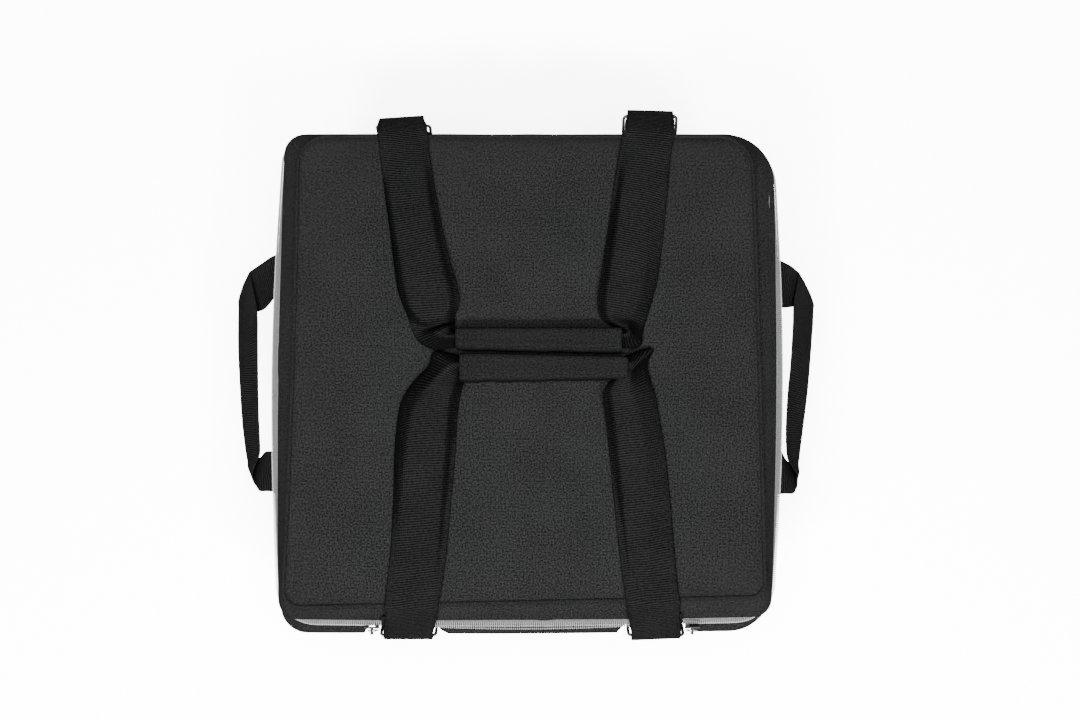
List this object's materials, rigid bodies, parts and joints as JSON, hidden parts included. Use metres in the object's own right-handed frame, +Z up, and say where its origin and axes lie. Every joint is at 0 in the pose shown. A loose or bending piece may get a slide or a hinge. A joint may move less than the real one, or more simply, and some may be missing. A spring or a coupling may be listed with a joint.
{
  "type": "insulated catering bag",
  "caption": "Square insulated carrying bag with a zipped lid, webbing strap handles on wire rings and webbing side handles.",
  "frame": {"origin": "on the floor, under the middle of the whole outline", "axes": "+Z up, +Y to the rear where the lid is hinged, +X to the right"},
  "size_m": [0.6164, 0.5344, 0.3277],
  "materials": {
    "cover_fabric": "black coated polyester weave",
    "lid_fabric": "black coated polyester weave",
    "strap_webbing": "ribbed black webbing",
    "grip_fabric": "black fabric wrap",
    "foam": "pale closed-cell foam",
    "stiffener": "grey plastic board",
    "foil": "foil-faced lining",
    "zip_tape": "woven tape",
    "zip_coil": "light nylon coil",
    "black_wire": "black coated wire",
    "zip_metal": "plated die-cast metal"
  },
  "bodies": {
    "shell": {"body_cover": "cover_fabric", "base_board": "stiffener", "base_foam": "foam", "front_foam_board": "foam", "rear_foam_board": "foam", "left_foam_board": "foam", "right_foam_board": "foam", "body_lining": "foil", "rear_hinge_strip": "cover_fabric", "body_zipper_tape": "zip_tape", "body_zipper_coil": "zip_coil", "left_body_strap": "strap_webbing", "right_body_strap": "strap_webbing", "left_handle_front_end": "strap_webbing", "left_handle_rear_end": "strap_webbing", "right_handle_front_end": "strap_webbing", "right_handle_rear_end": "strap_webbing"},
    "lid": {"lid_gusset": "lid_fabric", "lid_piping": "strap_webbing", "lid_top_panel": "lid_fabric", "lid_foam_board": "foam", "lid_lining": "foil", "lid_zipper_tape": "zip_tape", "lid_zipper_coil": "zip_coil"},
    "front_rings": {"front_left_ring": "black_wire", "front_right_ring": "black_wire"},
    "front_strap_ends": {"front_left_strap_end": "strap_webbing", "front_right_strap_end": "strap_webbing"},
    "front_handle": {"front_handle_webbing": "strap_webbing", "front_grip_cover": "grip_fabric", "front_grip_pad": "foam"},
    "rear_rings": {"rear_left_ring": "black_wire", "rear_right_ring": "black_wire", "rear_left_strap_end": "strap_webbing", "rear_right_strap_end": "strap_webbing"},
    "rear_handle": {"rear_handle_webbing": "strap_webbing", "rear_grip_cover": "grip_fabric", "rear_grip_pad": "foam"},
    "left_handle": {"left_handle_webbing": "strap_webbing"},
    "right_handle": {"right_handle_webbing": "strap_webbing"},
    "left_slider": {"left_slider": "zip_metal"},
    "left_puller": {"left_puller": "zip_metal"},
    "right_slider": {"right_slider": "zip_metal"},
    "right_puller": {"right_puller": "zip_metal"}
  },
  "joints": [
    {"name": "lid_hinge", "type": "hinge", "parent": "shell", "child": "lid", "pos_m": [0, 0.2439, 0.2671], "axis": [1, 0, 0], "range_deg": [-90, 0], "deforming": ["front_left_strap_end", "front_right_strap_end", "rear_left_strap_end", "rear_right_strap_end"]},
    {"name": "front_ring_swing", "type": "hinge", "parent": "shell", "child": "front_rings", "pos_m": [0, -0.2511, 0.234], "axis": [1, 0, 0], "range_deg": [0, 40]},
    {"name": "front_strap_swing", "type": "hinge", "parent": "front_rings", "child": "front_strap_ends", "pos_m": [0, -0.26236, 0.25519], "axis": [1, 0, 0], "range_deg": [0, 216]},
    {"name": "front_handle_lift", "type": "hinge", "parent": "front_strap_ends", "child": "front_handle", "pos_m": [0, -0.2314, 0.2993], "axis": [1, 0, 0], "range_deg": [0, 88], "deforming": ["front_handle_webbing"]},
    {"name": "rear_ring_swing", "type": "hinge", "parent": "shell", "child": "rear_rings", "pos_m": [0, 0.2463, 0.256], "axis": [1, 0, 0], "range_deg": [-90, 0]},
    {"name": "rear_handle_lift", "type": "hinge", "parent": "rear_rings", "child": "rear_handle", "pos_m": [0, 0.2396, 0.2993], "axis": [-1, 0, 0], "range_deg": [0, 88], "deforming": ["rear_handle_webbing"]},
    {"name": "left_handle_lift", "type": "hinge", "parent": "shell", "child": "left_handle", "pos_m": [-0.2464, 0.0031, 0.2], "axis": [0, 1, 0], "range_deg": [0, 75]},
    {"name": "right_handle_lift", "type": "hinge", "parent": "shell", "child": "right_handle", "pos_m": [0.2464, 0.0031, 0.2], "axis": [0, -1, 0], "range_deg": [0, 75]},
    {"name": "left_slider_run", "type": "slide", "parent": "shell", "child": "left_slider", "axis": [1, 0, 0], "range_m": [-0.05, 0], "deforming": ["body_zipper_coil", "lid_zipper_coil"]},
    {"name": "right_slider_run", "type": "slide", "parent": "shell", "child": "right_slider", "axis": [1, 0, 0], "range_m": [0, 0.046]},
    {"name": "left_puller_swing", "type": "hinge", "parent": "left_slider", "child": "left_puller", "pos_m": [-0.1528, -0.2576, 0.2687], "axis": [-1, 0, 0], "range_deg": [0, 150]},
    {"name": "right_puller_swing", "type": "hinge", "parent": "right_slider", "child": "right_puller", "pos_m": [0.1618, -0.2576, 0.2687], "axis": [-1, 0, 0], "range_deg": [0, 150]}
  ],
  "couplings": [
    {"joint": "front_strap_swing", "follows": "lid_hinge", "ratio": -2.4},
    {"joint": "rear_ring_swing", "follows": "lid_hinge", "ratio": 1}
  ]
}
